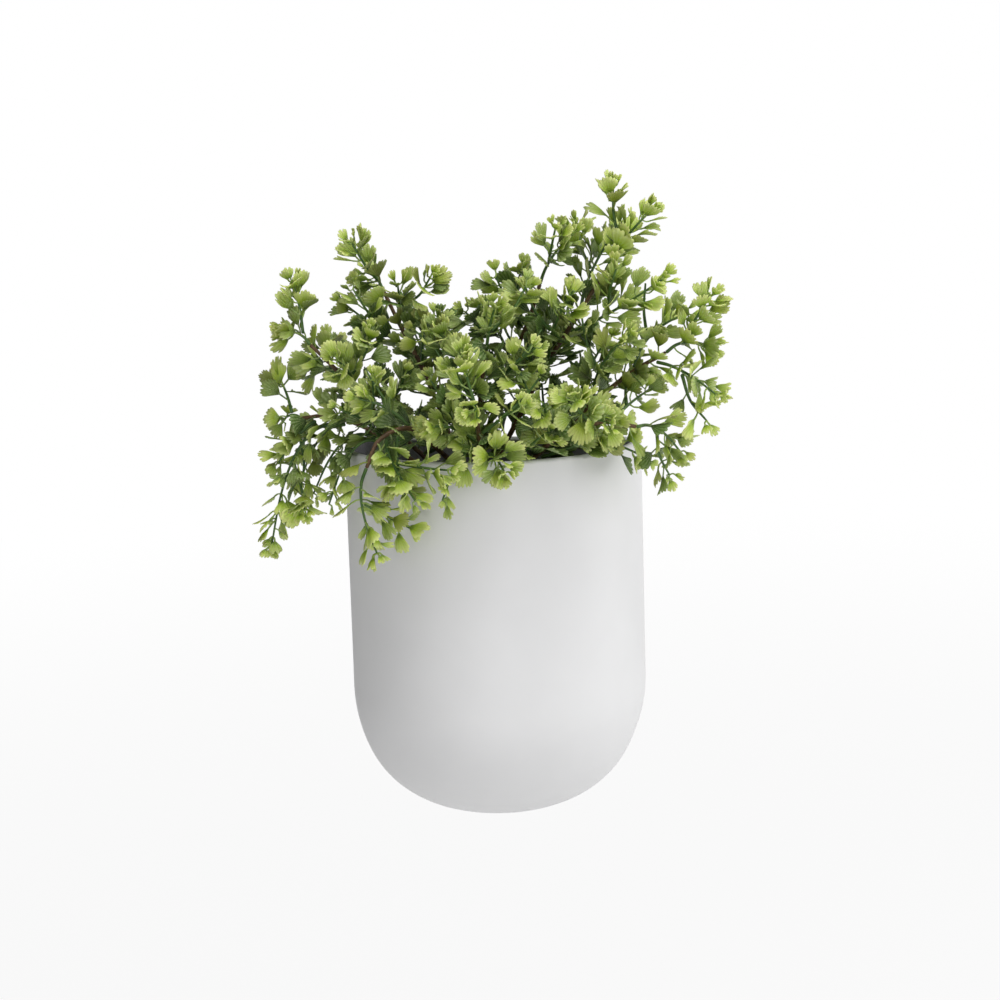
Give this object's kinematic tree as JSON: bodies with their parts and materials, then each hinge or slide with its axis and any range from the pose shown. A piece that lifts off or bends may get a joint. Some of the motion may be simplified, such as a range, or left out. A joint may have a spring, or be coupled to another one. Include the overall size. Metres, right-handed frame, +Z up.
{
  "type": "wall planter with artificial plant",
  "caption": "Half-round matte white ceramic wall planter with a flat back and keyhole, hung on a screw and plug, holding foam and a removable artificial leafy bush.",
  "frame": {"origin": "centre of the hanging screw where it crosses the wall's surface", "axes": "+Z up; +Y into the wall, so the pot stands at negative Y; +X to the right seen from the front"},
  "size_m": [0.2422, 0.1594, 0.3231],
  "materials": {
    "white_ceramic": "matte white, very fine grain",
    "green_foam": "dry dark green floral foam, cut with flat faces",
    "steel_screw": "bright zinc-plated steel",
    "nylon_plug": "light grey nylon",
    "brown_stem": "brown plastic-coated wire with a bark-like skin",
    "leaf_green": "moulded polyethylene, satin, yellow-green towards the leaf's edge and darker at its foot"
  },
  "bodies": {
    "wall_fixing": {"wall_plug": "nylon_plug", "wall_screw": "steel_screw"},
    "pot": {"pot_shell": "white_ceramic", "foam_block": "green_foam"},
    "bush": {"bush_stem": "brown_stem", "branch_front": "brown_stem", "branch_front_left": "brown_stem", "branch_front_middle": "brown_stem", "branch_left": "brown_stem", "branch_low_left": "brown_stem", "branch_low_right": "brown_stem", "branch_right": "brown_stem", "branch_top_left": "brown_stem", "branch_top_middle": "brown_stem", "branch_top_right": "brown_stem", "spray_collar_front": "leaf_green", "spray_collar_left": "leaf_green", "spray_collar_right": "leaf_green", "spray_front_1": "leaf_green", "spray_front_2": "leaf_green", "spray_front_3": "leaf_green", "spray_front_left_1": "leaf_green", "spray_front_left_2": "leaf_green", "spray_front_left_3": "leaf_green", "spray_front_middle_1": "leaf_green", "spray_front_middle_2": "leaf_green", "spray_front_middle_3": "leaf_green", "spray_front_middle_4": "leaf_green", "spray_left_1": "leaf_green", "spray_left_2": "leaf_green", "spray_left_3": "leaf_green", "spray_left_4": "leaf_green", "spray_low_left_1": "leaf_green", "spray_low_left_2": "leaf_green", "spray_low_left_3": "leaf_green", "spray_low_left_4": "leaf_green", "spray_low_right_1": "leaf_green", "spray_low_right_2": "leaf_green", "spray_low_right_3": "leaf_green", "spray_low_right_4": "leaf_green", "spray_low_right_5": "leaf_green", "spray_right_1": "leaf_green", "spray_right_2": "leaf_green", "spray_right_3": "leaf_green", "spray_right_4": "leaf_green", "spray_right_5": "leaf_green", "spray_top_left_1": "leaf_green", "spray_top_left_2": "leaf_green", "spray_top_left_3": "leaf_green", "spray_top_left_4": "leaf_green", "spray_top_left_5": "leaf_green", "spray_top_middle_1": "leaf_green", "spray_top_middle_2": "leaf_green", "spray_top_middle_3": "leaf_green", "spray_top_middle_4": "leaf_green", "spray_top_right_1": "leaf_green", "spray_top_right_2": "leaf_green", "spray_top_right_3": "leaf_green", "spray_top_right_4": "leaf_green", "spray_top_right_5": "leaf_green"}
  },
  "joints": [
    {"name": "pot_lift", "type": "slide", "parent": "wall_fixing", "child": "pot", "axis": [0, 0, 1], "range_m": [0, 0.0093]},
    {"name": "bush_lift", "type": "slide", "parent": "pot", "child": "bush", "axis": [0, 0, 1], "range_m": [0, 0.095]}
  ]
}
